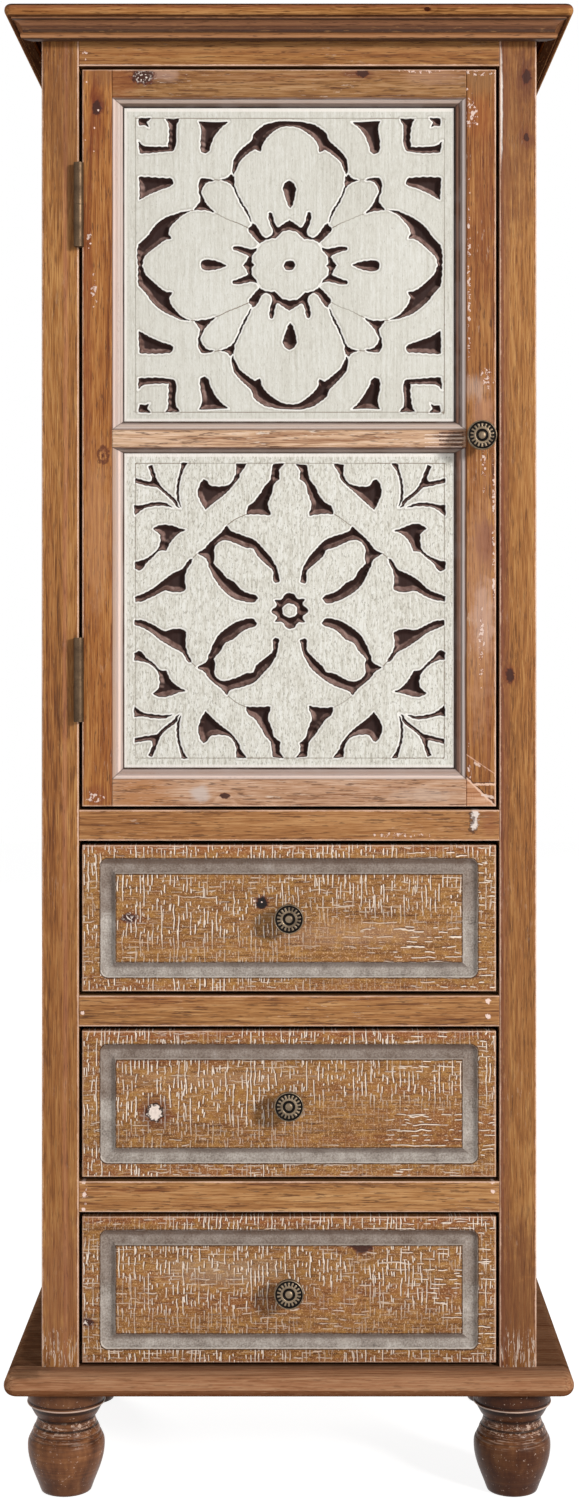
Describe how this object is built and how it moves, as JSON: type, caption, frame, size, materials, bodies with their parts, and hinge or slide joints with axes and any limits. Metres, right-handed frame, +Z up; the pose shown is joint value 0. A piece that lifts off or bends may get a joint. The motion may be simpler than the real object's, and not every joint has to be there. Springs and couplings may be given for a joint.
{
  "type": "pantry cupboard",
  "caption": "Tall narrow wooden cupboard on turned bun feet: a left-hinged door with two carved panels over a stack of inset drawers, with a cove crown and a bull-nosed base board.",
  "frame": {"origin": "on the floor, under the middle of the cupboard's outline", "axes": "+X to the viewer's right, +Y to the back, +Z up; the door and drawers face -Y"},
  "size_m": [0.502, 0.34, 1.3215],
  "materials": {
    "wood_case": "waxed, worn edges",
    "wood_trim": "waxed, smooth",
    "wood_feet": "stained, semi-gloss",
    "wood_door": "waxed, knotty",
    "wood_drawer": "saw-marked with a white wash, grey-white painted groove",
    "wood_inside": "bare",
    "carved_panel": "off-white paint over carved dark wood",
    "wash_bead": "white wash",
    "knob_brass": "antique",
    "hinge_bronze": "antique bronze",
    "screw_steel": "plain",
    "catch_plastic": "matte"
  },
  "bodies": {
    "case": {"foot_front_left": "wood_feet", "foot_front_right": "wood_feet", "foot_rear_left": "wood_feet", "foot_rear_right": "wood_feet", "foot_dowels": "wood_inside", "base_board": "wood_trim", "post_front_left": "wood_case", "post_front_right": "wood_case", "post_rear_left": "wood_case", "post_rear_right": "wood_case", "rail_lower": "wood_case", "rail_middle": "wood_case", "rail_below_door": "wood_case", "rail_top": "wood_case", "side_rails_left": "wood_case", "side_rails_right": "wood_case", "side_panels_left": "wood_case", "side_panels_right": "wood_case", "back_panel": "wood_inside", "cupboard_floor": "wood_inside", "shelf": "wood_inside", "shelf_pins": "wood_inside", "drawer_bearers": "wood_inside", "drawer_guides": "wood_inside", "crown_board": "wood_trim", "crown_moulding_front": "wood_trim", "crown_moulding_left": "wood_trim", "crown_moulding_right": "wood_trim", "hinge_leaves_frame": "hinge_bronze", "hinge_screws_frame": "screw_steel", "hinge_pins": "hinge_bronze", "door_catch": "catch_plastic"},
    "door": {"door_stile_left": "wood_door", "door_stile_right": "wood_door", "door_rail_top": "wood_door", "door_rail_middle": "wood_door", "door_rail_bottom": "wood_door", "door_panel_upper": "carved_panel", "door_panel_lower": "carved_panel", "door_bead_upper": "wash_bead", "door_bead_lower": "wash_bead", "hinge_leaves_door": "hinge_bronze", "hinge_screws_door": "screw_steel", "door_knob": "knob_brass", "catch_plate": "screw_steel"},
    "drawer_1": {"drawer_1_front": "wood_drawer", "drawer_1_sides": "wood_inside", "drawer_1_back": "wood_inside", "drawer_1_bottom": "wood_inside", "drawer_1_knob": "knob_brass"},
    "drawer_2": {"drawer_2_front": "wood_drawer", "drawer_2_sides": "wood_inside", "drawer_2_back": "wood_inside", "drawer_2_bottom": "wood_inside", "drawer_2_knob": "knob_brass"},
    "drawer_3": {"drawer_3_front": "wood_drawer", "drawer_3_sides": "wood_inside", "drawer_3_back": "wood_inside", "drawer_3_bottom": "wood_inside", "drawer_3_knob": "knob_brass"}
  },
  "joints": [
    {"name": "door_hinge", "type": "hinge", "parent": "case", "child": "door", "pos_m": [-0.1865, -0.144, 0.9371], "axis": [0, 0, -1], "range_deg": [0, 170]},
    {"name": "drawer_1_slide", "type": "slide", "parent": "case", "child": "drawer_1", "axis": [0, -1, 0], "range_m": [0, 0.2]},
    {"name": "drawer_2_slide", "type": "slide", "parent": "case", "child": "drawer_2", "axis": [0, -1, 0], "range_m": [0, 0.2]},
    {"name": "drawer_3_slide", "type": "slide", "parent": "case", "child": "drawer_3", "axis": [0, -1, 0], "range_m": [0, 0.2]}
  ]
}
